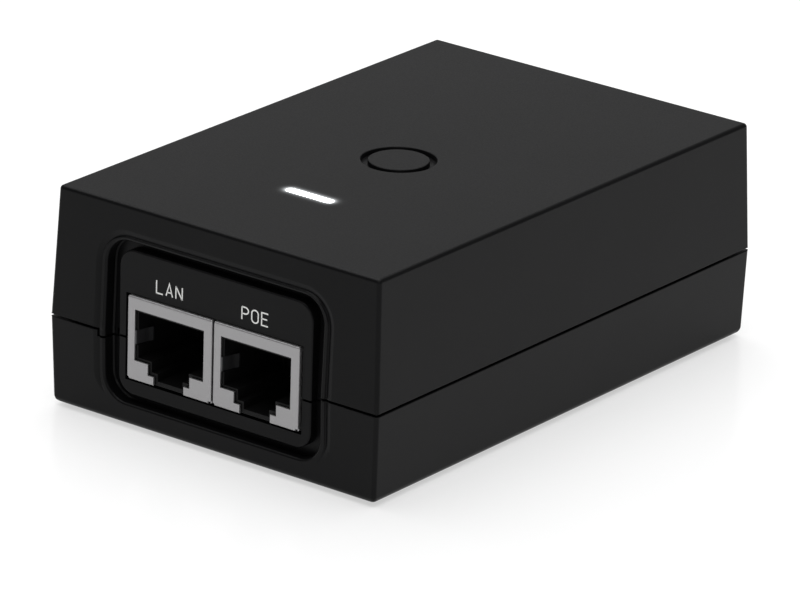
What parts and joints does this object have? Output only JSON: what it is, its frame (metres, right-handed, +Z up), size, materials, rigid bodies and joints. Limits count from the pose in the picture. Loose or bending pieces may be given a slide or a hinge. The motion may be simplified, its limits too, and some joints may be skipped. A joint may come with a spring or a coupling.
{
  "type": "power over ethernet injector",
  "caption": "Small black mains adapter that adds power to a network line, with LAN and PoE sockets in front, an inlet behind, a light bar, rubber feet and a slide-on wall bracket.",
  "frame": {"origin": "centre of the footprint, on the surface that the feet stand on", "axes": "+Z up; +Y along the length towards the mains inlet, so the network jacks face -Y; +X to the right when the jacks face the viewer"},
  "size_m": [0.0598, 0.0904, 0.0338],
  "materials": {
    "case_plastic": "fine matte texture, moulded",
    "foot_rubber": "matte",
    "screw_steel": "zinc plated",
    "bracket_plastic": "matte, moulded",
    "light_pipe_clear": "clear, lit white from below",
    "led_white": "white package with a clear lens",
    "shield_steel": "matte tin plate, stamped",
    "socket_plastic": "satin, moulded",
    "contact_gold": "gold plated, polished",
    "inlet_plastic": "satin, moulded",
    "inlet_brass": "nickel plated",
    "board_laminate": "solder mask over laminate",
    "insulation_film": "thin polyester film",
    "black_epoxy": "moulded epoxy",
    "ferrite": "ground ferrite, matte",
    "enamelled_copper": "enamelled wire",
    "winding_tape": "polyester tape",
    "film_capacitor_yellow": "glossy box",
    "disc_blue": "dipped epoxy",
    "capacitor_sleeve": "shrink sleeve",
    "aluminium": "bare sheet",
    "fuse_ceramic": "ceramic tube"
  },
  "bodies": {
    "case": {"bottom_shell": "case_plastic", "bridge_rectifier": "black_epoxy", "bulk_capacitor": "capacitor_sleeve", "case_screw_front_left": "screw_steel", "case_screw_front_right": "screw_steel", "case_screw_rear_left": "screw_steel", "case_screw_rear_right": "screw_steel", "choke_core": "ferrite", "choke_winding_left": "enamelled_copper", "choke_winding_right": "enamelled_copper", "foot_front_left": "foot_rubber", "foot_front_right": "foot_rubber", "foot_rear_left": "foot_rubber", "foot_rear_right": "foot_rubber", "fuse": "fuse_ceramic", "heatsink_output": "aluminium", "heatsink_primary": "aluminium", "inlet_body": "inlet_plastic", "inlet_pin_earth": "inlet_brass", "inlet_pin_line": "inlet_brass", "inlet_pin_neutral": "inlet_brass", "insulation_sheet": "insulation_film", "lan_insulator": "socket_plastic", "lan_shield": "shield_steel", "lan_transformer": "black_epoxy", "light_pipe": "light_pipe_clear", "main_pcb": "board_laminate", "mosfet": "black_epoxy", "optocoupler": "black_epoxy", "output_capacitor_1": "capacitor_sleeve", "output_capacitor_2": "capacitor_sleeve", "output_diode": "black_epoxy", "output_inductor": "enamelled_copper", "poe_insulator": "socket_plastic", "poe_shield": "shield_steel", "status_led": "led_white", "top_shell": "case_plastic", "transformer_bobbin": "black_epoxy", "transformer_core": "ferrite", "transformer_winding": "winding_tape", "varistor": "disc_blue", "x_capacitor": "film_capacitor_yellow", "y_capacitor": "disc_blue"},
    "lan_contacts": {"lan_contact_1": "contact_gold", "lan_contact_2": "contact_gold", "lan_contact_3": "contact_gold", "lan_contact_4": "contact_gold", "lan_contact_5": "contact_gold", "lan_contact_6": "contact_gold", "lan_contact_7": "contact_gold", "lan_contact_8": "contact_gold"},
    "poe_contacts": {"poe_contact_1": "contact_gold", "poe_contact_2": "contact_gold", "poe_contact_3": "contact_gold", "poe_contact_4": "contact_gold", "poe_contact_5": "contact_gold", "poe_contact_6": "contact_gold", "poe_contact_7": "contact_gold", "poe_contact_8": "contact_gold"},
    "wall_bracket": {"wall_bracket": "bracket_plastic"}
  },
  "joints": [
    {"name": "lan_contact_flex", "type": "hinge", "parent": "case", "child": "lan_contacts", "pos_m": [-0.0079, -0.04005, 0.0185], "axis": [1, 0, 0], "range_deg": [0, 20], "stiffness_Nm_per_rad": 0.05},
    {"name": "poe_contact_flex", "type": "hinge", "parent": "case", "child": "poe_contacts", "pos_m": [0.0079, -0.04005, 0.0185], "axis": [1, 0, 0], "range_deg": [0, 20], "stiffness_Nm_per_rad": 0.05},
    {"name": "bracket_slide", "type": "slide", "parent": "case", "child": "wall_bracket", "axis": [0, 1, 0], "range_m": [0, 0.058]}
  ]
}
